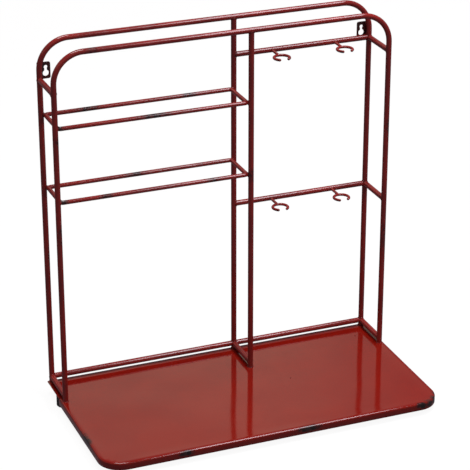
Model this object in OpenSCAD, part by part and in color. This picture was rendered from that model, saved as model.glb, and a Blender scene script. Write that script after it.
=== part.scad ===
// Welded wire storage rack: two round-rod hoops stand on a sheet-metal tray.
// The left bay carries two wire shelves, and the right bay carries two rails with open hooks.
// +Z is up and the front is -Y. The origin is at the middle of the footprint, on the floor.

/* [Hoops] */
// Distance between the axes of the left and right legs
leg_spacing = 560; // [440:5:760]
// Distance between the front hoop and the rear hoop
hoop_gap = 74; // [60:1:130]
// Height of the top bars' axes above the tray
hoop_h = 587; // [570:1:800]
// Bend radius of the top corners, on the rod's axis
hoop_bend_r = 48; // [20:1:60]
// Diameter of the rod of hoops and centre uprights
hoop_d = 9; // [7:0.5:12]
// Distance of the centre uprights from the middle, to the right
upright_offset = 42; // [-40:1:80]

/* [Cross bars and hook rails] */
// Diameter of hook rails and upper cross bars
bar_d = 9; // [5:0.5:9]
// Height of the upper hook rail's axis above the tray
upper_rail_z = 524; // [505:1:530]
// Height of the middle hook rail's axis above the tray
middle_rail_z = 266; // [120:1:400]
// Diameter of the rods of the ring above the tray
base_rod_d = 9; // [4:0.5:9]
// Height of the ring's axis above the tray
base_rod_z = 9; // [7:0.5:30]

/* [Shelves] */
// Diameter of the shelf rods
shelf_d = 7; // [4:0.5:8]
// Bend radius of a shelf's corners, on the rod's axis
shelf_bend_r = 4.5; // [4:0.5:10]
// Height of the upper shelf's axis above the tray
upper_shelf_z = 467; // [400:1:500]
// Height of the lower shelf's axis above the tray
lower_shelf_z = 345; // [100:1:380]
// Distance of the shelf rails from the hoops' planes, inwards
shelf_rail_inset = 3; // [2:0.5:4]

/* [Hooks] */
// Diameter of the hook wire
hook_wire_d = 4.5; // [3:0.5:5]
// Radius of the open ring, on the wire's axis
hook_ring_r = 12.5; // [9:0.5:16]
// Opening angle of the ring's mouth
hook_mouth = 74; // [50:1:100]
// Distance of the ring's centre in front of its rail
hook_reach = 43; // [30:1:50]
// Drop of the ring below its rail's axis
hook_drop = 0; // [0:0.5:12]
// Distance of the first hook from the centre upright
hook_start = 65; // [30:1:80]
// Distance between the two hooks on a rail
hook_pitch = 110; // [50:1:130]

/* [Keyhole plates] */
// Width of a plate
plate_w = 21.5; // [21:0.5:40]
// Distance of a plate's inner edge from the leg's axis
plate_reach = 19.5; // [19:0.5:30]
// Height of a plate
plate_h = 27; // [25:0.5:40]
// Distance of a plate's lower edge below the upper hook rail's axis
plate_lap = 1; // [0.5:0.5:4]
// Thickness of a plate
plate_t = 2; // [1:0.5:4]
// Radius of the keyhole's round entry
keyhole_r = 5; // [3.5:0.5:5.5]
// Width of the keyhole's neck
keyhole_neck_w = 4.5; // [4:0.5:5]
// Radius of the keyhole's seat, above the neck
keyhole_seat_r = 3; // [2.5:0.5:3.5]
// Height of the seat's centre above the centre of the round entry
keyhole_rise = 10; // [8:0.5:11]
// Height of the round entry's centre above the plate's lower edge
keyhole_base = 9; // [7:0.5:11]
// Distance of the keyhole's centre from the plate's inner edge
keyhole_side = 7.5; // [7:0.5:10]

/* [Tray] */
// Depth of the tray
tray_depth = 300; // [240:5:380]
// Distance of the tray's side edges beyond the legs' axes
tray_side = 7.5; // [5:0.5:20]
// Distance of the tray's rear edge behind the rear hoop's plane
tray_behind = 3.5; // [1:0.5:6]
// Thickness of the sheet
sheet_t = 1.2; // [0.8:0.1:2.5]
// Height of the folded lip
lip_h = 12; // [8:0.5:20]
// Outside radius of the lip's fold
fold_r = 3; // [2.6:0.1:5]
// Radius of the front corners
front_corner_r = 38; // [15:1:80]
// Radius of the rear corners
rear_corner_r = 3; // [1:0.5:10]
// Length at the rear of each side that has no lip
lip_stop = 65; // [45:1:100]

/* [Feet] */
// Diameter of a foot
foot_d = 25; // [15:1:30]
// Height of a foot below the lip
foot_drop = 10; // [4:0.5:25]
// Radius of the foot's lower edge
foot_edge_r = 2.5; // [1:0.5:4]
// Gap between a rear foot and the end of the side lip
foot_gap = 2; // [0.5:0.5:10]
// Distance of a rear foot's side from the tray's side edge
foot_inset = 0.5; // [0:0.5:10]
// Distance of the front feet's centres from the front edge
front_foot_y = 53; // [40:1:90]
// Distance of the front feet's centres from the side edges
front_foot_x = 36; // [25:1:90]

/* [Hidden] */
$fn = 48;

enamel_red = [0.42, 0.06, 0.06];
worn_black = [0.10, 0.08, 0.08];

// Heights, measured from the floor
tray_z = foot_drop + lip_h;
top_z = tray_z + hoop_h;
base_z = tray_z + base_rod_z;
upper_hooks_z = tray_z + upper_rail_z;
middle_hooks_z = tray_z + middle_rail_z;
bend_z = top_z - hoop_bend_r;
plate_z = upper_hooks_z - plate_lap;

// Plan positions: the footprint runs from the tray's front edge to the back of the keyhole plates
tray_front = tray_depth - tray_behind;
footprint_mid = (tray_front - hoop_d / 2 - plate_t) / 2;
rear_y = footprint_mid;
front_y = rear_y - hoop_gap;
leg_x = leg_spacing / 2;
upright_x = upright_offset;
tray_half_w = leg_x + tray_side;
tray_rear_y = rear_y + tray_behind;
tray_front_y = rear_y - tray_front;
shelf_rear_y = rear_y - shelf_rail_inset;
shelf_front_y = front_y + shelf_rail_inset;
// The corners' outer surfaces touch the upright rods, which sets how far the ends stand off them
shelf_touch = hoop_d / 2 + shelf_d / 2 + shelf_bend_r;
shelf_end_gap = sqrt(pow(shelf_touch, 2) - pow(shelf_rail_inset + shelf_bend_r, 2)) - shelf_bend_r;
shelf_left_x = -leg_x + shelf_end_gap;
shelf_right_x = upright_x - shelf_end_gap;
left_hook_x = upright_x + hook_start;
right_hook_x = left_hook_x + hook_pitch;

// A coped end stops this far short of the axis of the rod that it meets
cope_tip = 1.5;
stem_tip = 1;

// Straight round rods along each axis
module rod_x(x0, x1, y, z, d) translate([x0, y, z]) rotate([0, 90, 0]) cylinder(h = x1 - x0, d = d);
module rod_y(y0, y1, x, z, d) translate([x, y1, z]) rotate([90, 0, 0]) cylinder(h = y1 - y0, d = d);
module rod_z(z0, z1, x, y, d) translate([x, y, z0]) cylinder(h = z1 - z0, d = d);

// One quarter bend in the hoop's plane, its centre at the given point
module hoop_bend(x, y, turn) {
    translate([x, y, bend_z]) rotate([90, 0, 0]) rotate([0, 0, turn])
        rotate_extrude(angle = 90) translate([hoop_bend_r, 0]) circle(d = hoop_d);
}

// A full-height hoop: two legs, two bends and the top bar, bent from one rod
module hoop(y) {
    straight = leg_x - hoop_bend_r;
    rod_z(tray_z, bend_z, -leg_x, y, hoop_d);
    rod_z(tray_z, bend_z, leg_x, y, hoop_d);
    hoop_bend(-straight, y, 90);
    hoop_bend(straight, y, 0);
    rod_x(-straight, straight, y, top_z, hoop_d);
}

module rear_hoop() color(enamel_red) hoop(rear_y);
module front_hoop() color(enamel_red) hoop(front_y);

// A centre upright, coped to the underside of its hoop's top bar
module centre_upright(y) {
    color(enamel_red) difference() {
        rod_z(tray_z, top_z - cope_tip, upright_x, y, hoop_d);
        rod_x(upright_x - hoop_d, upright_x + hoop_d, y, top_z, hoop_d);
    }
}

module rear_centre_upright() centre_upright(rear_y);
module front_centre_upright() centre_upright(front_y);

// The two upright rods, front and rear, that stand at a given X
module upright_pair(x) {
    rod_z(tray_z, bend_z, x, rear_y, hoop_d);
    rod_z(tray_z, bend_z, x, front_y, hoop_d);
}

// A rail along X between two upright rods of one hoop, coped to both
module coped_rail(x0, x1, y, z, d) {
    difference() {
        rod_x(x0 + cope_tip, x1 - cope_tip, y, z, d);
        rod_z(z - d, z + d, x0, y, hoop_d);
        rod_z(z - d, z + d, x1, y, hoop_d);
    }
}

module upper_hook_rail() color(enamel_red) coped_rail(upright_x, leg_x, rear_y, upper_hooks_z, bar_d);
module middle_hook_rail() color(enamel_red) coped_rail(upright_x, leg_x, rear_y, middle_hooks_z, bar_d);
module base_rear_rail_left() color(enamel_red) coped_rail(-leg_x, upright_x, rear_y, base_z, base_rod_d);
module base_rear_rail_right() color(enamel_red) coped_rail(upright_x, leg_x, rear_y, base_z, base_rod_d);

// A bar along Y between the front and rear uprights at x, coped to both and to the rear rail there
module coped_side_bar(x, z, d) {
    difference() {
        rod_y(front_y + cope_tip, rear_y - cope_tip, x, z, d);
        upright_pair(x);
        rod_x(x - 2 * hoop_d, x + 2 * hoop_d, rear_y, z, d);
    }
}

module upper_side_bar_left() color(enamel_red) coped_side_bar(-leg_x, upper_hooks_z, bar_d);
module upper_side_bar_right() color(enamel_red) coped_side_bar(leg_x, upper_hooks_z, bar_d);
module middle_side_bar_right() color(enamel_red) coped_side_bar(leg_x, middle_hooks_z, bar_d);
module base_side_bar_left() color(enamel_red) coped_side_bar(-leg_x, base_z, base_rod_d);
module base_side_bar_right() color(enamel_red) coped_side_bar(leg_x, base_z, base_rod_d);
module base_centre_bar() color(enamel_red) coped_side_bar(upright_x, base_z, base_rod_d);

// One quarter bend of a shelf's rod, its centre at the given point
module shelf_bend(x, y, z, turn) {
    translate([x, y, z]) rotate([0, 0, turn])
        rotate_extrude(angle = 90) translate([shelf_bend_r, 0]) circle(d = shelf_d);
}

// A wire shelf: one rod bent into a closed rectangle, its four corners nested against the upright rods
module shelf(z) {
    left = shelf_left_x + shelf_bend_r;
    right = shelf_right_x - shelf_bend_r;
    front = shelf_front_y + shelf_bend_r;
    rear = shelf_rear_y - shelf_bend_r;
    color(enamel_red) {
        for (y = [shelf_front_y, shelf_rear_y]) rod_x(left, right, y, z, shelf_d);
        for (x = [shelf_left_x, shelf_right_x]) rod_y(front, rear, x, z, shelf_d);
        shelf_bend(right, rear, z, 0);
        shelf_bend(left, rear, z, 90);
        shelf_bend(left, front, z, 180);
        shelf_bend(right, front, z, 270);
    }
}

module upper_shelf() shelf(tray_z + upper_shelf_z);
module lower_shelf() shelf(tray_z + lower_shelf_z);

// The open ring of a hook lies flat, with its mouth to the front
module hook_ring(x, rail_z) {
    translate([x, rear_y - hook_reach, rail_z - hook_drop]) rotate([0, 0, -90 + hook_mouth / 2])
        rotate_extrude(angle = 360 - hook_mouth) translate([hook_ring_r, 0]) circle(d = hook_wire_d);
}

// The stem runs from the front of the rail to the back of the ring
module hook_stem(x, rail_z) {
    run = hook_reach - hook_ring_r;
    slope = atan2(hook_drop, run);
    length = norm([run, hook_drop]) - stem_tip;
    color(enamel_red) difference() {
        translate([x, rear_y, rail_z]) rotate([90 + slope, 0, 0]) cylinder(h = length, d = hook_wire_d);
        rod_x(x - hook_wire_d, x + hook_wire_d, rear_y, rail_z, bar_d);
        hook_ring(x, rail_z);
    }
}

module upper_left_hook_stem() hook_stem(left_hook_x, upper_hooks_z);
module upper_left_hook_ring() color(enamel_red) hook_ring(left_hook_x, upper_hooks_z);
module upper_right_hook_stem() hook_stem(right_hook_x, upper_hooks_z);
module upper_right_hook_ring() color(enamel_red) hook_ring(right_hook_x, upper_hooks_z);
module lower_left_hook_stem() hook_stem(left_hook_x, middle_hooks_z);
module lower_left_hook_ring() color(enamel_red) hook_ring(left_hook_x, middle_hooks_z);
module lower_right_hook_stem() hook_stem(right_hook_x, middle_hooks_z);
module lower_right_hook_ring() color(enamel_red) hook_ring(right_hook_x, middle_hooks_z);

// Outline of the keyhole, the round entry's centre at the origin
module keyhole_outline() {
    circle(r = keyhole_r);
    translate([-keyhole_neck_w / 2, 0]) square([keyhole_neck_w, keyhole_rise]);
    translate([0, keyhole_rise]) circle(r = keyhole_seat_r);
}

// Outline of a plate, its lower inner corner at the origin: square outside and rounded at the inner side
module plate_outline() {
    corner = 3;
    translate([-plate_w, 0]) square([plate_w - corner, plate_h]);
    translate([-plate_w, corner]) square([plate_w, plate_h - 2 * corner]);
    translate([-corner, corner]) circle(r = corner);
    translate([-corner, plate_h - corner]) circle(r = corner);
}

// The left plate lies flat against the back of its leg
module keyhole_plate() {
    color(worn_black) translate([-leg_x + plate_reach, rear_y + hoop_d / 2 + plate_t, plate_z])
        rotate([90, 0, 0]) linear_extrude(plate_t) difference() {
            plate_outline();
            translate([-keyhole_side, keyhole_base]) keyhole_outline();
        }
}

module keyhole_plate_left() keyhole_plate();
module keyhole_plate_right() mirror([1, 0, 0]) keyhole_plate();

// Section of the folded lip: X runs outwards from the start of the fold, Y runs up to the tray's top
module lip_section() {
    intersection() {
        translate([0, -fold_r]) difference() {
            circle(r = fold_r);
            circle(r = fold_r - sheet_t);
        }
        translate([0, -fold_r]) square([fold_r, fold_r]);
    }
    translate([fold_r - sheet_t, -lip_h]) square([sheet_t, lip_h - fold_r]);
}

// Outline of the flat part of the tray, up to where the fold starts
module tray_flat_outline() {
    flat_w = tray_half_w - fold_r;
    flat_front = tray_front_y + fold_r;
    r = front_corner_r - fold_r;
    translate([-flat_w, flat_front + r]) square([2 * flat_w, tray_rear_y - flat_front - r - rear_corner_r]);
    translate([-flat_w + r, flat_front]) square([2 * (flat_w - r), 2 * r]);
    for (side = [-1, 1]) translate([side * (flat_w - r), flat_front + r]) circle(r = r);
    // The rear stretches without a lip stay flat out to the side edges
    rear_w = tray_half_w - rear_corner_r;
    translate([-tray_half_w, tray_rear_y - lip_stop])
        square([2 * tray_half_w, lip_stop - rear_corner_r]);
    translate([-rear_w, tray_rear_y - lip_stop]) square([2 * rear_w, lip_stop]);
    for (side = [-1, 1]) translate([side * rear_w, tray_rear_y - rear_corner_r]) circle(r = rear_corner_r);
}

// The lip along one side, from the rear stop to the front corner and round it to the middle
module lip_half() {
    side_x = tray_half_w - fold_r;
    corner_y = tray_front_y + front_corner_r;
    corner_x = tray_half_w - front_corner_r;
    translate([side_x, tray_rear_y - lip_stop, tray_z]) rotate([90, 0, 0])
        linear_extrude(tray_rear_y - lip_stop - corner_y) lip_section();
    translate([corner_x, corner_y, tray_z]) rotate([0, 0, -90])
        rotate_extrude(angle = 90) translate([front_corner_r - fold_r, 0]) lip_section();
    translate([0, tray_front_y + fold_r, tray_z]) rotate([90, 0, -90]) mirror([0, 0, 1])
        linear_extrude(corner_x) lip_section();
}

// The tray: one sheet with a lip folded down at the front and sides
module base_tray() {
    color(enamel_red) union() {
        translate([0, 0, tray_z - sheet_t]) linear_extrude(sheet_t) tray_flat_outline();
        lip_half();
        mirror([1, 0, 0]) lip_half();
    }
}

// A round foot under the sheet
module foot(x, y) {
    r = foot_d / 2;
    h = tray_z - sheet_t;
    color(worn_black) translate([x, y, 0]) rotate_extrude() {
        square([r - foot_edge_r, h]);
        translate([0, foot_edge_r]) square([r, h - foot_edge_r]);
        intersection() {
            translate([r - foot_edge_r, foot_edge_r]) circle(r = foot_edge_r);
            square([r, 2 * foot_edge_r]);
        }
    }
}

rear_foot_x = tray_half_w - foot_inset - foot_d / 2;
rear_foot_y = tray_rear_y - lip_stop + foot_gap + foot_d / 2;
module rear_left_foot() foot(-rear_foot_x, rear_foot_y);
module rear_right_foot() foot(rear_foot_x, rear_foot_y);
module front_left_foot() foot(-(tray_half_w - front_foot_x), tray_front_y + front_foot_y);
module front_right_foot() foot(tray_half_w - front_foot_x, tray_front_y + front_foot_y);

rear_hoop();
front_hoop();
rear_centre_upright();
front_centre_upright();
upper_side_bar_left();
upper_side_bar_right();
middle_side_bar_right();
upper_hook_rail();
middle_hook_rail();
base_rear_rail_left();
base_rear_rail_right();
base_side_bar_left();
base_side_bar_right();
base_centre_bar();
upper_shelf();
lower_shelf();
upper_left_hook_stem();
upper_left_hook_ring();
upper_right_hook_stem();
upper_right_hook_ring();
lower_left_hook_stem();
lower_left_hook_ring();
lower_right_hook_stem();
lower_right_hook_ring();
keyhole_plate_left();
keyhole_plate_right();
base_tray();
rear_left_foot();
rear_right_foot();
front_left_foot();
front_right_foot();
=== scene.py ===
import math

import bmesh
import bpy
from mathutils import Matrix, Vector, noise


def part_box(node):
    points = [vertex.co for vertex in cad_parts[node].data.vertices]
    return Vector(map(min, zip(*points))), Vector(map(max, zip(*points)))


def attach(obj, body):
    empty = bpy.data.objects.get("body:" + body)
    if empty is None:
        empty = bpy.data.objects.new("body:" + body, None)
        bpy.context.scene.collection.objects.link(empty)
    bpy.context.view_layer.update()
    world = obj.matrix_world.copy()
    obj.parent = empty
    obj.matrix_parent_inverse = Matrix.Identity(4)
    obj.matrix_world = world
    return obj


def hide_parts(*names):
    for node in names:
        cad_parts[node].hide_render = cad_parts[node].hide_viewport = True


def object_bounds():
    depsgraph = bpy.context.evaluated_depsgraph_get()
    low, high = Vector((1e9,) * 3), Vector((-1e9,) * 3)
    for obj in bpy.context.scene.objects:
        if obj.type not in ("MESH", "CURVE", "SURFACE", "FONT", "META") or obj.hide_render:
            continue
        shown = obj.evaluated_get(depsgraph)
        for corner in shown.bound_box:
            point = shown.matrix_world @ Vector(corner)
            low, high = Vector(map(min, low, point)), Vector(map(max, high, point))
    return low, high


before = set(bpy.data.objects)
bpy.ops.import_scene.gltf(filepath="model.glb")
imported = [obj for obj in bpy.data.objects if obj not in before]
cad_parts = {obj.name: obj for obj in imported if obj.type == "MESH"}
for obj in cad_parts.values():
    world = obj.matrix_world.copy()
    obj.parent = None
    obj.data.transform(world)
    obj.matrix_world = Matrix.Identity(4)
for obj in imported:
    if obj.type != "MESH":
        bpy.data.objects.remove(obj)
cad_low, cad_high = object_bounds()
scene = bpy.context.scene


# ---- Hoops -------------------------------------------------------------------------------------
# Two full-height hoops. Each is one round steel rod, bent cold into two legs and a top bar.
# The rack is welded up first and then enamelled as a whole, so every rod has the same glossy dark red.

MM = 0.001
ACROSS = Vector((1, 0, 0))
BACK = Vector((0, 1, 0))
UP = Vector((0, 0, 1))

hoop_low, hoop_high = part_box("rear_hoop")
front_low, front_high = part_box("front_hoop")
hoop_rod = (hoop_high.y - hoop_low.y) / 2
rear_y = (hoop_high.y + hoop_low.y) / 2
front_y = (front_high.y + front_low.y) / 2
leg_x = hoop_high.x - hoop_rod
top_bar_z = hoop_high.z - hoop_rod
deck_z = hoop_low.z


def add_node(tree, kind, settings=None, **inputs):
    """A new shader node, with its settings, and its inputs filled or linked by name."""
    made = tree.nodes.new("ShaderNode" + kind)
    for name, value in (settings or {}).items():
        setattr(made, name, value)
    for name, value in inputs.items():
        feed(tree, made.inputs[name.replace("_", " ")], value)
    return made


def feed(tree, socket, value):
    """Links an output to a socket, or sets the socket to a plain value."""
    if isinstance(value, bpy.types.NodeSocket):
        tree.links.new(value, socket)
    else:
        socket.default_value = value


def maths(tree, operation, *values):
    """A Math node on one, two or three values."""
    made = add_node(tree, "Math", {"operation": operation})
    for socket, value in zip(made.inputs, values):
        feed(tree, socket, value)
    return made.outputs[0]


def ramp(tree, value, low, high, start=0.0, end=1.0):
    """Takes a value from start, where it is low, smoothly to end, where it is high."""
    made = add_node(tree, "MapRange", {"interpolation_type": "SMOOTHSTEP"})
    for socket, part in zip(made.inputs, (value, low, high, start, end)):
        feed(tree, socket, part)
    return made.outputs[0]


def grain(tree, where, size, detail=2.0):
    """Noise whose blotches are about this size, in metres."""
    return add_node(tree, "TexNoise", Vector=where, Scale=1 / size, Detail=detail).outputs[0]


def mixed(tree, amount, first, second):
    """Two colours mixed by an amount."""
    made = add_node(tree, "Mix", {"data_type": "RGBA"})
    for index, value in ((0, amount), (6, first), (7, second)):
        feed(tree, made.inputs[index], value)
    return made.outputs[2]


def rubbed_through(tree, where, marks, flaw, chips):
    """How far the enamel is worn away: 1 inside the marks, with ragged soft edges, and 0 elsewhere."""
    worn = maths(tree, "MULTIPLY", ramp(tree, grain(tree, where, 11 * MM, 3), 0.64, 0.82), chips)
    for centre, reach in marks:
        offset = add_node(tree, "VectorMath", {"operation": "SUBTRACT"})
        feed(tree, offset.inputs[0], where)
        feed(tree, offset.inputs[1], centre)
        scaled = add_node(tree, "VectorMath", {"operation": "DIVIDE"})
        feed(tree, scaled.inputs[0], offset.outputs[0])
        feed(tree, scaled.inputs[1], reach)
        length = add_node(tree, "VectorMath", {"operation": "LENGTH"})
        feed(tree, length.inputs[0], scaled.outputs[0])
        ragged = maths(tree, "ADD", length.outputs["Value"], flaw)
        worn = maths(tree, "MAXIMUM", worn, ramp(tree, ragged, 1.25, 0.40))
    return worn


ROD_RED = (0.250, 0.0170, 0.0140, 1)
ROD_DARK = (0.175, 0.0140, 0.0130, 1)


def enamel(name, marks=(), full=ROD_RED, thin=ROD_DARK, gloss=0.13, chips=0.45):
    """Glossy red enamel over dark primer, thinner in places and rubbed through at the marks."""
    material = bpy.data.materials.new(name)
    material.use_nodes = True
    tree = material.node_tree
    shader = tree.nodes["Principled BSDF"]
    where = add_node(tree, "TexCoord").outputs["Object"]
    drift = ramp(tree, grain(tree, where, 60 * MM, 3), 0.36, 0.66)
    flaw = maths(tree, "MULTIPLY_ADD", grain(tree, where, 6 * MM, 4), 1.1, -0.55)
    worn = rubbed_through(tree, where, marks, flaw, chips)
    red = mixed(tree, drift, full, thin)
    soot = (0.012, 0.008, 0.009, 1)
    rust = (0.046, 0.024, 0.020, 1)
    primer = mixed(tree, ramp(tree, flaw, -0.1, 0.3), soot, rust)
    feed(tree, shader.inputs["Base Color"], mixed(tree, worn, red, primer))
    streak = grain(tree, where, 14 * MM, 2)
    sheen = maths(tree, "MULTIPLY_ADD", streak, 0.08, gloss - 0.04)
    feed(tree, shader.inputs["Roughness"], maths(tree, "MULTIPLY_ADD", worn, 0.05, sheen))
    peel = maths(tree, "MULTIPLY", grain(tree, where, 1.6 * MM, 1), 0.10)
    height = maths(tree, "SUBTRACT", peel, maths(tree, "MULTIPLY", worn, 0.2))
    bump = add_node(tree, "Bump", Height=height, Strength=0.35, Distance=0.25 * MM)
    feed(tree, shader.inputs["Normal"], bump.outputs[0])
    return material


def finish_nodes(names, material):
    """Gives the rods that come from the frame their material."""
    for name in names:
        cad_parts[name].data.materials[0] = material


# Where the enamel of the hoops is rubbed through: the middle of each mark, and its reach
hoop_marks = [
    (Vector((-220 * MM, front_y, top_bar_z)), Vector((14, 6, 6)) * MM),
    (Vector((-leg_x + 2 * MM, front_y, 470 * MM)), Vector((5, 6, 14)) * MM),
    (Vector((-leg_x + 1 * MM, front_y, 316 * MM)), Vector((5, 6, 24)) * MM),
    (Vector((leg_x + 2 * MM, front_y, 414 * MM)), Vector((5, 6, 30)) * MM),
    (Vector((leg_x, front_y, 224 * MM)), Vector((5, 6, 34)) * MM),
    (Vector((-leg_x + 3 * MM, rear_y, 250 * MM)), Vector((4, 6, 28)) * MM),
]
finish_nodes(["rear_hoop", "front_hoop"], enamel("hoop_enamel", hoop_marks))


# ---- Centre uprights ---------------------------------------------------------------------------
# Two straight rods that part the left bay from the right. Each stands under its hoop's top bar,
# with its upper end filed to the bar's round and a bead run round it.

upright_low, upright_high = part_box("front_centre_upright")
upright_x = (upright_low.x + upright_high.x) / 2
upright_marks = [(Vector((upright_x, front_y, 367 * MM)), Vector((6, 6, 16)) * MM)]
finish_nodes(["rear_centre_upright", "front_centre_upright"], enamel("upright_enamel", upright_marks))

BEAD = 0.9 * MM


def bead_lump(turn, seed):
    """How a bead swells along its run: small even ripples, a slow wander and one start lump."""
    ripple = 0.07 * math.sin(13 * turn + seed)
    wander = 0.16 * math.sin(2 * turn + 1.7 * seed)
    lump = 0.30 * math.exp(-((turn - 2.2 * math.sin(seed)) / 0.45) ** 2)
    return 1 + ripple + wander + lump


def bead_round(bm, joint, outward, aside, rod, post=None, bead=BEAD):
    """A weld bead round the end of a rod that meets a round post, or a sheet where post is None.
    The joint is on the post's axis, outward runs along the rod, and aside along the post."""
    cross = aside.cross(outward)
    seed = joint.x * 91 + joint.y * 57 + joint.z * 23
    to_ring = Matrix((aside, outward, cross)).transposed().to_4x4()
    to_ring.translation = joint + aside * rod
    section = bmesh.ops.create_circle(bm, segments=8, radius=bead)["verts"]
    bmesh.ops.transform(bm, matrix=to_ring, verts=section)
    old = set(bm.verts) - set(section)
    loop = section + list({edge for vert in section for edge in vert.link_edges})
    bmesh.ops.spin(bm, geom=loop, cent=joint, axis=outward, angle=math.tau, steps=28, use_merge=True)
    for vert in set(bm.verts) - old:
        offset = vert.co - joint
        around = offset - outward * offset.dot(outward)
        turn = math.atan2(around.dot(cross), around.dot(aside))
        ring = around.normalized() * rod
        swell = (offset - ring) * bead_lump(turn, seed)
        rise = 0
        if post is not None:
            rise = math.sqrt(max(post**2 - ring.dot(cross) ** 2, (0.3 * post) ** 2))
        vert.co = joint + ring + swell + outward * rise


def bead_dab(bm, place, facing, size):
    """A short dab of weld in the nook between two rods: size is through, across and up."""
    sideways = UP.cross(facing).normalized()
    ball = bmesh.ops.create_icosphere(bm, subdivisions=3, radius=1)["verts"]
    for vert in ball:
        lump = vert.co * (1 + 0.16 * noise.noise(vert.co * 1.9 + place * 300))
        depth = facing * lump.x * size[0]
        vert.co = place + depth + sideways * lump.y * size[1] + UP * lump.z * size[2]


def welds(name, bm, material):
    """A finished group of beads, dressed flush so that none stands outside the rack."""
    for vert in bm.verts:
        vert.co = Vector(min(max(co, low), high) for co, low, high in zip(vert.co, cad_low, cad_high))
    return finished(name, bm, material)


def finished(name, bm, material, crease=35):
    """The object made from a mesh, smooth except where its faces turn by more than the crease."""
    bmesh.ops.recalc_face_normals(bm, faces=bm.faces)
    mesh = bpy.data.meshes.new(name)
    bm.to_mesh(mesh)
    bm.free()
    mesh.materials.append(material)
    mesh.shade_smooth()
    mesh.set_sharp_from_angle(angle=math.radians(crease))
    piece = bpy.data.objects.new(name, mesh)
    scene.collection.objects.link(piece)
    return piece


# Enamel runs thin over a bead and soot shows through it, so the beads are darker than the rods
weld_coat = dict(full=(0.190, 0.013, 0.011, 1), thin=(0.080, 0.010, 0.009, 1), gloss=0.18)
weld_enamel = enamel("weld_enamel", **weld_coat)

bm = bmesh.new()
for y in (front_y, rear_y):
    bead_round(bm, Vector((upright_x, y, top_bar_z)), -UP, ACROSS, hoop_rod, hoop_rod)
upright_welds = welds("upright_welds", bm, weld_enamel)
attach(upright_welds, "root")


# ---- Side bars ---------------------------------------------------------------------------------
# Short rods that tie the front hoop to the rear one: a pair near the top and one half-way up on the
# right. Their ends are filed to the legs' round and a bead is run right round each.

bar_names = ["upper_side_bar_left", "upper_side_bar_right", "middle_side_bar_right"]
finish_nodes(bar_names, enamel("side_bar_enamel"))

bm = bmesh.new()
for name in bar_names:
    low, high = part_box(name)
    middle = (low + high) / 2
    bar_rod = (high.z - low.z) / 2
    for y, outward in ((front_y, BACK), (rear_y, -BACK)):
        bead_round(bm, Vector((middle.x, y, middle.z)), outward, UP, bar_rod, hoop_rod)
side_bar_welds = welds("side_bar_welds", bm, weld_enamel)
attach(side_bar_welds, "root")


# ---- Base ring ---------------------------------------------------------------------------------
# A ring of rod just above the tray, which holds the feet of the legs and uprights square:
# a rear rail in two lengths, a bar at each end, and a bar between the two centre uprights.

ring_names = [
    "base_rear_rail_left", "base_rear_rail_right",
    "base_side_bar_left", "base_side_bar_right", "base_centre_bar",
]
finish_nodes(ring_names, enamel("base_ring_enamel"))

ring_low, ring_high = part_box("base_centre_bar")
ring_rod = (ring_high.z - ring_low.z) / 2
ring_z = (ring_high.z + ring_low.z) / 2
bm = bmesh.new()
for x, outward in ((-leg_x, ACROSS), (upright_x, -ACROSS), (upright_x, ACROSS), (leg_x, -ACROSS)):
    bead_round(bm, Vector((x, rear_y, ring_z)), outward, UP, ring_rod, hoop_rod)
for x in (-leg_x, upright_x, leg_x):
    for y, outward in ((front_y, BACK), (rear_y, -BACK)):
        bead_round(bm, Vector((x, y, ring_z)), outward, UP, ring_rod, hoop_rod)
base_ring_welds = welds("base_ring_welds", bm, weld_enamel)
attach(base_ring_welds, "root")


# ---- Hook rails --------------------------------------------------------------------------------
# Two straight rods across the right bay, in the rear hoop's plane, one near the top and one half-way
# up. They carry the hooks, and are welded to the centre upright and the right leg.

rail_names = ["upper_hook_rail", "middle_hook_rail"]
rail_low, rail_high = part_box("upper_hook_rail")
rail_rod = (rail_high.z - rail_low.z) / 2
finish_nodes(rail_names, enamel("hook_rail_enamel"))

bm = bmesh.new()
for name in rail_names:
    low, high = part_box(name)
    for x, outward in ((upright_x, ACROSS), (leg_x, -ACROSS)):
        bead_round(bm, Vector((x, rear_y, (low.z + high.z) / 2)), outward, UP, rail_rod, hoop_rod)
hook_rail_welds = welds("hook_rail_welds", bm, weld_enamel)
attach(hook_rail_welds, "root")


# ---- Wire shelves ------------------------------------------------------------------------------
# Two shelves in the left bay. Each is one thin rod bent into a closed rectangle, whose tight corners
# nest against the insides of the legs and uprights and are tacked to them with a dab of weld.

shelf_names = ["upper_shelf", "lower_shelf"]
upper_low, upper_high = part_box("upper_shelf")
lower_low, lower_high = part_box("lower_shelf")
shelf_rod = (upper_high.z - upper_low.z) / 2
shelf_front_y = upper_low.y + shelf_rod
shelf_rear_y = upper_high.y - shelf_rod
upper_shelf_z = (upper_low.z + upper_high.z) / 2
lower_shelf_z = (lower_low.z + lower_high.z) / 2

# Where the shelves are rubbed through, by shelf and by rail: middle and half length along the rail
shelf_rubs = [
    (shelf_rear_y, upper_shelf_z, -207, 24), (shelf_rear_y, upper_shelf_z, -36, 17),
    (shelf_front_y, upper_shelf_z, -118, 34), (shelf_front_y, upper_shelf_z, -272, 9),
    (shelf_rear_y, lower_shelf_z, -129, 20), (shelf_front_y, lower_shelf_z, -200, 14),
    (shelf_front_y, lower_shelf_z, -23, 15), (shelf_front_y, lower_shelf_z, -271, 10),
]
shelf_marks = [(Vector((x * MM, y, z)), Vector((half, 6, 6)) * MM) for y, z, x, half in shelf_rubs]
finish_nodes(shelf_names, enamel("shelf_enamel", shelf_marks))

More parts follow.
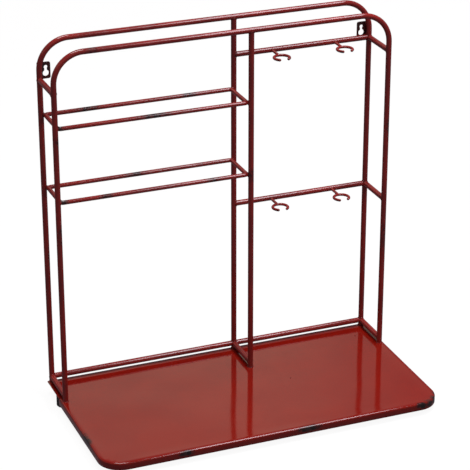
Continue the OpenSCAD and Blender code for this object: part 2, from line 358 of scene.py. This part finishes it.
dab_size = (2.0 * MM, 3.3 * MM, 4.0 * MM)
bm = bmesh.new()
for z in (upper_shelf_z, lower_shelf_z):
    for x, inwards in ((-leg_x, 1), (upright_x, -1)):
        for y, towards in ((front_y, 1), (rear_y, -1)):
            facing = Vector((0.8 * inwards, 0.6 * towards, 0))
            bead_dab(bm, Vector((x, y, z)) + facing * hoop_rod, facing, dab_size)
shelf_welds = welds("shelf_welds", bm, weld_enamel)
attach(shelf_welds, "root")


# ---- Hooks -------------------------------------------------------------------------------------
# Four hooks of thin wire. Each is a short level stem from its rail, welded to the back of an open
# ring that lies flat. The ring's cut ends are rounded over, and its mouth is to the front.

hook_names = ["upper_left_hook", "upper_right_hook", "lower_left_hook", "lower_right_hook"]
hook_marks = []
for name in hook_names:
    low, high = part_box(name + "_ring")
    hook_marks.append((Vector((low.x + 5 * MM, low.y + 2 * MM, low.z)), Vector((5, 4, 4)) * MM))
hook_enamel = enamel("hook_enamel", hook_marks, gloss=0.16)


def verts_of(geom):
    """The vertices among some new geometry."""
    return [item for item in geom if isinstance(item, bmesh.types.BMVert)]


def edges_of(geom):
    """The edges among some new geometry."""
    return [item for item in geom if isinstance(item, bmesh.types.BMEdge)]


def rounded_end(bm, rim, centre, direction, radius, rings=4):
    """Closes a round wire's open end with a half ball, whose last ring is left a little open."""
    ring_angle = math.pi / 2 / (rings + 0.35)
    reached = 0
    for step in range(1, rings + 1):
        angle = ring_angle * step
        grown = bmesh.ops.extrude_edge_only(bm, edges=rim)["geom"]
        verts = verts_of(grown)
        rim = [edge for edge in edges_of(grown) if all(vert in verts for vert in edge.verts)]
        middle = centre + direction * reached
        shrink = math.cos(angle) / math.cos(angle - ring_angle)
        bmesh.ops.scale(bm, vec=Vector((shrink,) * 3), space=Matrix.Translation(-middle), verts=verts)
        ahead = radius * math.sin(angle) - reached
        bmesh.ops.translate(bm, vec=direction * ahead, verts=verts)
        reached += ahead
    bmesh.ops.contextual_create(bm, geom=rim)


def open_ring(bm, centre, ring_radius, wire, half_mouth):
    """A ring of wire, open to the front, with rounded ends."""
    start_angle = -math.pi / 2 + half_mouth
    out = Vector((math.cos(start_angle), math.sin(start_angle), 0))
    place = Matrix((out, UP, out.cross(UP))).transposed().to_4x4()
    place.translation = centre + out * ring_radius
    section = bmesh.ops.create_circle(bm, segments=20, radius=wire)["verts"]
    bmesh.ops.transform(bm, matrix=place, verts=section)
    first = list({edge for vert in section for edge in vert.link_edges})
    swept = bmesh.ops.spin(
        bm, geom=section + first, cent=centre, axis=UP, angle=math.tau - 2 * half_mouth, steps=48,
    )["geom_last"]
    last = edges_of(swept)
    far = Vector((-out.x, out.y, 0))
    rounded_end(bm, first, centre + out * ring_radius, UP.cross(-out), wire)
    rounded_end(bm, last, centre + far * ring_radius, UP.cross(far), wire)


def wire_stem(bm, start, end, wire):
    """A straight piece of wire, its ends hidden inside what it meets."""
    run = end - start
    place = Matrix.Translation((start + end) / 2) @ run.to_track_quat("Z", "Y").to_matrix().to_4x4()
    bmesh.ops.create_cone(
        bm, cap_ends=True, segments=20, radius1=wire, radius2=wire, depth=run.length, matrix=place,
    )


half_mouth = math.radians(37)
weld_bm = bmesh.new()
for name in hook_names:
    low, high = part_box(name + "_ring")
    wire = (high.z - low.z) / 2
    ring_radius = (high.x - low.x) / 2 - wire
    ring_centre = Vector(((low.x + high.x) / 2, high.y - wire - ring_radius, (low.z + high.z) / 2))
    low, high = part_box("upper_hook_rail" if name.startswith("upper") else "middle_hook_rail")
    stem_start = Vector((ring_centre.x, rear_y, (low.z + high.z) / 2))
    ring_back = ring_centre + BACK * ring_radius
    bm = bmesh.new()
    open_ring(bm, ring_centre, ring_radius, wire, half_mouth)
    ring = finished(name + "_open_ring", bm, hook_enamel)
    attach(ring, "root")
    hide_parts(name + "_ring")
    bm = bmesh.new()
    wire_stem(bm, stem_start, ring_back, wire)
    stem = finished(name + "_wire_stem", bm, hook_enamel)
    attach(stem, "root")
    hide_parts(name + "_stem")
    outward = (ring_back - stem_start).normalized()
    bead_round(weld_bm, stem_start, outward, ACROSS, wire, rail_rod, 0.8 * MM)
    bead_dab(weld_bm, ring_back, -BACK, (2.1 * MM, 2.9 * MM, 2.3 * MM))
hook_welds = welds("hook_welds", weld_bm, weld_enamel)
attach(hook_welds, "root")


# ---- Keyhole plates ----------------------------------------------------------------------------
# Two small steel plates welded flat to the backs of the rear legs, for hanging the rack on a wall.
# Each is drilled and filed to a keyhole: a round entry, a neck and a small round seat above it.

# The plates' enamel is painted far darker than the rods': painted shade, standing in for the shadow that
# the plates sit in behind the rear legs.
plate_coat_painted_shade = dict(full=(0.090, 0.012, 0.010, 1), thin=(0.030, 0.013, 0.011, 1), gloss=0.32)
plate_enamel_painted_shade = enamel("plate_enamel_painted_shade", **plate_coat_painted_shade)
keyhole_side = 7.5 * MM
keyhole_base = 9 * MM
keyhole_rise = 10 * MM
entry_radius = 5 * MM
seat_radius = 3 * MM
half_neck = 2.25 * MM
plate_corner = 3 * MM


def keyhole_arc(bm, centre, radius, neck_way):
    """A round part of the keyhole's edge, left open where the neck leaves it."""
    gap = math.asin(half_neck / radius)
    start = centre + Matrix.Rotation(gap, 3, "Y") @ (neck_way * radius)
    first = bmesh.ops.create_vert(bm, co=start)["vert"][0]
    run = math.tau - 2 * gap
    swept = bmesh.ops.spin(bm, geom=[first], cent=centre, axis=BACK, angle=run, steps=36)
    return first, verts_of(swept["geom_last"])[0]


weld_bm = bmesh.new()
for name, side in (("keyhole_plate_left", -1), ("keyhole_plate_right", 1)):
    low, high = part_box(name)
    middle = (low + high) / 2
    inner_edge = low.x if side > 0 else high.x
    entry = Vector((inner_edge + side * keyhole_side, high.y, low.z + keyhole_base))
    bm = bmesh.new()
    outline = bmesh.ops.create_grid(bm, x_segments=1, y_segments=1, size=0.5)["verts"]
    upright = Matrix.Rotation(math.pi / 2, 4, "X")
    size = Matrix.Diagonal((high.x - low.x, high.z - low.z, 1, 1))
    lie = Matrix.Translation((middle.x, high.y, middle.z)) @ upright @ size
    bmesh.ops.transform(bm, matrix=lie, verts=outline)
    inner = [vert for vert in outline if abs(vert.co.x - inner_edge) < MM]
    bmesh.ops.bevel(
        bm, geom=inner, offset=plate_corner, affect="VERTICES", segments=6, profile=0.5, material=-1,
    )
    bmesh.ops.delete(bm, geom=bm.faces[:], context="FACES_ONLY")
    lower = keyhole_arc(bm, entry, entry_radius, UP)
    upper = keyhole_arc(bm, entry + UP * keyhole_rise, seat_radius, -UP)
    bmesh.ops.contextual_create(bm, geom=[lower[0], upper[1]])
    bmesh.ops.contextual_create(bm, geom=[lower[1], upper[0]])
    bmesh.ops.triangle_fill(bm, use_beauty=True, use_dissolve=False, edges=bm.edges[:])
    bmesh.ops.recalc_face_normals(bm, faces=bm.faces)
    moved = verts_of(bmesh.ops.extrude_face_region(bm, geom=bm.faces[:])["geom"])
    bmesh.ops.translate(bm, vec=(0, low.y - high.y, 0), verts=moved)
    plate = finished(name + "_punched", bm, plate_enamel_painted_shade)
    rounding = plate.modifiers.new("rolled edges", "BEVEL")
    rounding.width = 0.35 * MM
    rounding.segments = 2
    rounding.limit_method = "ANGLE"
    rounding.angle_limit = math.radians(50)
    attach(plate, "root")
    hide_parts(name)
    for z in (low.z + 4.5 * MM, high.z - 4.5 * MM):
        nook = Vector((side * (leg_x - 0.8 * hoop_rod), low.y - 0.6 * MM, z))
        bead_dab(weld_bm, nook, BACK, (1.1 * MM, 1.6 * MM, 3.4 * MM))
plate_welds = welds("plate_welds", weld_bm, weld_enamel)
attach(plate_welds, "root")


# ---- Tray --------------------------------------------------------------------------------------
# One sheet of steel with round front corners. Its front and sides are folded down to a lip, which stops
# short of the rear corners. The sheet is a little wavy and rolls down at the rear, and its glassy enamel
# is rubbed dark along the fold.

tray_low, tray_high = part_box("base_tray")
sheet = 1.2 * MM
fold_radius = 3 * MM
front_corner = 38 * MM
rear_corner = 2.4 * MM
lip_stop = 65 * MM
relief = 1 * MM
lip_height = tray_high.z - tray_low.z
lip_end_y = tray_high.y - lip_stop
fold_z = deck_z - 4 * MM


def edges_where(bm, test):
    """Edges whose two ends both pass a test."""
    return [edge for edge in bm.edges if test(edge.verts[0].co) and test(edge.verts[1].co)]


def grow_edges(bm, edges, vector):
    """Draws a strip of sheet out from these edges."""
    grown = verts_of(bmesh.ops.extrude_edge_only(bm, edges=edges)["geom"])
    bmesh.ops.translate(bm, vec=vector, verts=grown)
    return grown


bm = bmesh.new()
blank = bmesh.ops.create_grid(bm, x_segments=1, y_segments=1, size=0.5)["verts"]
size = Matrix.Diagonal((tray_high.x * 2, lip_end_y - tray_low.y, 1, 1))
place = Matrix.Translation((0, (tray_low.y + lip_end_y) / 2, deck_z)) @ size
bmesh.ops.transform(bm, matrix=place, verts=blank)
corners = [vert for vert in blank if vert.co.y < 0]
bmesh.ops.bevel(
    bm, geom=corners, offset=front_corner, affect="VERTICES", segments=14, profile=0.5, material=-1,
)
rim = [edge for edge in bm.edges if min(vert.co.y for vert in edge.verts) < lip_end_y - MM]
grow_edges(bm, rim, (0, 0, -lip_height))
on_top = edges_where(bm, lambda co: abs(co.z - deck_z) < 0.1 * MM)
fold = [edge for edge in on_top if len(edge.link_faces) == 2 and edge.calc_face_angle() > 1.0]
bmesh.ops.bevel(
    bm, geom=fold, offset=fold_radius, affect="EDGES", segments=6, profile=0.5, material=-1,
)
rear = edges_where(bm, lambda co: math.dist(co.yz, (lip_end_y, deck_z)) < 0.01 * MM)
start = grow_edges(bm, rear, (0, relief, 0))
rear = [edge for edge in bm.edges if all(vert in start for vert in edge.verts)]
grow_edges(bm, rear, (0, lip_stop - relief, 0))
flat_x = tray_high.x - fold_radius
for side in (-1, 1):
    behind_lip = edges_where(bm, lambda co: co.y > lip_end_y + 0.5 * relief)
    tab = [edge for edge in behind_lip if all(abs(v.co.x - side * flat_x) < 0.1 * MM for v in edge.verts)]
    grow_edges(bm, tab, (side * fold_radius, 0, 0))
at_rear = [vert for vert in bm.verts if abs(vert.co.y - tray_high.y) < 0.01 * MM]
rear_corners = [vert for vert in at_rear if abs(vert.co.x) > flat_x + MM]
bmesh.ops.bevel(
    bm, geom=rear_corners, offset=rear_corner, affect="VERTICES", segments=4, profile=0.5, material=-1,
)
cell = 8 * MM
roll = 14 * MM
cuts = [(ACROSS, tray_low.x + cell * step) for step in range(1, 72)]
cuts += [(BACK, tray_low.y + cell * step) for step in range(1, 35)]
cuts += [(BACK, tray_high.y - roll * part / 6) for part in range(1, 7)]
for normal, distance in cuts:
    everything = bm.verts[:] + bm.edges[:] + bm.faces[:]
    bmesh.ops.bisect_plane(
        bm, geom=everything, dist=0.01 * MM, plane_co=normal * distance, plane_no=normal,
    )
for vert in bm.verts:
    if vert.co.z > deck_z - 0.1 * MM:
        spot = Vector((vert.co.x * 11, vert.co.y * 14, 0.5))
        side_room = flat_x - abs(vert.co.x)
        room = min(side_room, vert.co.y - tray_low.y - fold_radius) / (12 * MM)
        vert.co.z += 0.22 * MM * (noise.noise(spot) - 0.7) * min(max(room, 0), 1)
        past = max(vert.co.y - tray_high.y + roll, 0) / roll
        vert.co.z -= 0.55 * MM * past**1.3

tray_marks = [
    (Vector((-287 * MM, -59 * MM, fold_z)), Vector((8, 27, 7)) * MM),
    (Vector((50 * MM, -151 * MM, fold_z)), Vector((24, 5, 6)) * MM),
    (Vector((-155 * MM, -151 * MM, fold_z)), Vector((14, 5, 6)) * MM),
    (Vector((250 * MM, -150.5 * MM, fold_z)), Vector((11, 5, 7)) * MM),
    (Vector((265 * MM, -146.5 * MM, fold_z)), Vector((10, 7, 7)) * MM),
    (Vector((277 * MM, -138 * MM, fold_z)), Vector((8, 8, 7)) * MM),
    (Vector((284 * MM, -127 * MM, fold_z)), Vector((5, 9, 7)) * MM),
]
tray_coat = dict(full=(0.195, 0.0066, 0.0030, 1), thin=(0.180, 0.0062, 0.0034, 1), gloss=0.08, chips=0)
tray_enamel = enamel("tray_enamel", tray_marks, **tray_coat)
tray = finished("folded_tray", bm, tray_enamel, crease=50)
wall = tray.modifiers.new("sheet", "SOLIDIFY")
wall.thickness = sheet
wall.offset = -1
wall.use_even_offset = True
rounding = tray.modifiers.new("deburred edges", "BEVEL")
rounding.width = 0.3 * MM
rounding.segments = 2
rounding.limit_method = "ANGLE"
rounding.angle_limit = math.radians(60)
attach(tray, "root")
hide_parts("base_tray")

bm = bmesh.new()
for x in (-leg_x, upright_x, leg_x):
    for y in (front_y, rear_y):
        bead_round(bm, Vector((x, y, deck_z)), UP, ACROSS, hoop_rod)
for x, y in ((88 * MM, 8 * MM), (252 * MM, 108 * MM)):
    bead_dab(bm, Vector((x, y, deck_z)), BACK, (0.9 * MM, 0.9 * MM, 0.8 * MM))
tray_welds = welds("tray_welds", bm, weld_enamel)
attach(tray_welds, "root")


# ---- Feet --------------------------------------------------------------------------------------
# Four round moulded rubber feet under the sheet. Each has a rolled lower edge and a shallow groove
# round its side, and is stuck to the tray from below.


def rubber(name):
    """Matt black moulded rubber, a little dusty and mottled."""
    material = bpy.data.materials.new(name)
    material.use_nodes = True
    tree = material.node_tree
    shader = tree.nodes["Principled BSDF"]
    where = add_node(tree, "TexCoord").outputs["Object"]
    dust = ramp(tree, grain(tree, where, 7 * MM, 5), 0.45, 0.75)
    black = (0.012, 0.011, 0.011, 1)
    dusty = (0.040, 0.034, 0.032, 1)
    feed(tree, shader.inputs["Base Color"], mixed(tree, dust, black, dusty))
    feed(tree, shader.inputs["Roughness"], maths(tree, "MULTIPLY_ADD", dust, 0.2, 0.5))
    skin = add_node(tree, "Bump", Height=grain(tree, where, 0.8 * MM, 2), Strength=0.3, Distance=0.1 * MM)
    feed(tree, shader.inputs["Normal"], skin.outputs[0])
    return material


foot_rubber = rubber("foot_rubber")
for name in ("rear_left_foot", "rear_right_foot", "front_left_foot", "front_right_foot"):
    low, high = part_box(name)
    centre = (low + high) / 2
    foot_radius = (high.x - low.x) / 2
    height = high.z - low.z
    bm = bmesh.new()
    foot = bmesh.ops.create_cone(
        bm, cap_ends=True, segments=64, radius1=foot_radius, radius2=foot_radius, depth=height,
        matrix=Matrix.Translation(centre),
    )["verts"]
    floor_face = min(bm.faces, key=lambda face: face.calc_center_median().z)
    bmesh.ops.bevel(
        bm, geom=floor_face.edges[:], offset=2.5 * MM, affect="EDGES", segments=5, profile=0.5, material=-1,
    )
    for z in (0.62, 0.68, 0.74):
        everything = bm.verts[:] + bm.edges[:] + bm.faces[:]
        bmesh.ops.bisect_plane(
            bm, geom=everything, dist=0.01 * MM, plane_co=(0, 0, low.z + z * height), plane_no=UP,
        )
    groove = [vert for vert in bm.verts if abs(vert.co.z - low.z - 0.68 * height) < 0.1 * MM]
    bmesh.ops.scale(bm, vec=(0.955, 0.955, 1), space=Matrix.Translation(-centre), verts=groove)
    floor_face = min(bm.faces, key=lambda face: face.calc_center_median().z)
    bmesh.ops.inset_region(bm, faces=[floor_face], thickness=5 * MM)
    floor_face = max(bm.faces, key=lambda face: len(face.verts) * (face.normal.z < -0.5))
    bmesh.ops.inset_region(bm, faces=[floor_face], thickness=0.6 * MM, depth=-0.8 * MM)
    moulded = finished(name + "_moulded", bm, foot_rubber)
    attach(moulded, "root")
    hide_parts(name)


# ---- Floor, light and camera -------------------------------------------------------------------
# The studio: a plain white floor, a soft light from straight above, and a long strip light in front.
# The tray mirrors a pale band low in the dim room, which fades away to the right.

bm = bmesh.new()
bmesh.ops.create_grid(bm, x_segments=1, y_segments=1, size=40)
bmesh.ops.translate(bm, vec=(0, 0, cad_low.z), verts=bm.verts)
paper = bpy.data.materials.new("lit_paper")
paper.use_nodes = True
paper_shader = paper.node_tree.nodes["Principled BSDF"]
paper_shader.inputs["Base Color"].default_value = (0.07, 0.07, 0.07, 1)
paper_shader.inputs["Roughness"].default_value = 0.9
paper_shader.inputs["Specular IOR Level"].default_value = 0.0
paper_shader.inputs["Emission Color"].default_value = (1, 1, 1, 1)
paper_shader.inputs["Emission Strength"].default_value = 0.93
floor = finished("studio_floor", bm, paper)
floor.visible_glossy = False
floor.visible_diffuse = False

room = bpy.data.worlds.new("studio_room")
scene.world = room
room.use_nodes = True
tree = room.node_tree
backdrop = tree.nodes["Background"]
facing = add_node(tree, "TexCoord").outputs["Generated"]
split = add_node(tree, "SeparateXYZ", Vector=facing).outputs
above = ramp(tree, split["Z"], 0.385, 0.44)
below = ramp(tree, split["Z"], 0.60, 0.44)
beside = ramp(tree, split["X"], 0.44, 0.33, 0.12)
glow = maths(tree, "MULTIPLY", maths(tree, "MULTIPLY", above, below), beside)
lit_room = mixed(tree, glow, (0.16, 0.135, 0.15, 1), (0.90, 0.72, 0.58, 1))
seen_directly = add_node(tree, "LightPath").outputs["Is Camera Ray"]
feed(tree, backdrop.inputs["Color"], mixed(tree, seen_directly, lit_room, (1.0, 1.0, 1.0, 1)))

ceiling = bpy.data.lights.new("ceiling", "SUN")
ceiling.energy = 0.66 * math.pi
ceiling.angle = math.radians(30)
ceiling_rig = bpy.data.objects.new("ceiling", ceiling)
scene.collection.objects.link(ceiling_rig)

strip = bpy.data.lights.new("strip_box", "AREA")
strip.shape = "RECTANGLE"
strip.size = 0.6
strip.size_y = 2.2
strip.energy = 10 * math.pi * strip.size * strip.size_y
strip.color = (1.0, 0.93, 1.0)
strip_stand = bpy.data.objects.new("strip_box", strip)
strip_stand.location = (0.85, -0.75, 2.2)
scene.collection.objects.link(strip_stand)

scene.view_settings.view_transform = "Standard"

azimuth = math.radians(-21.906)
elevation = math.radians(23.993)
aim = Vector((0.0059, 0.0497, 0.2765))
distance = 3.201
level = Vector((math.sin(azimuth), -math.cos(azimuth), 0))
away = level * math.cos(elevation) + UP * math.sin(elevation)
camera = bpy.data.objects.new("camera", bpy.data.cameras.new("camera"))
camera.location = aim + away * distance
camera.rotation_euler = (-away).to_track_quat("-Z", "Y").to_euler()
camera.data.lens = 153.08
camera.data.sensor_width = 36
scene.collection.objects.link(camera)
scene.camera = camera
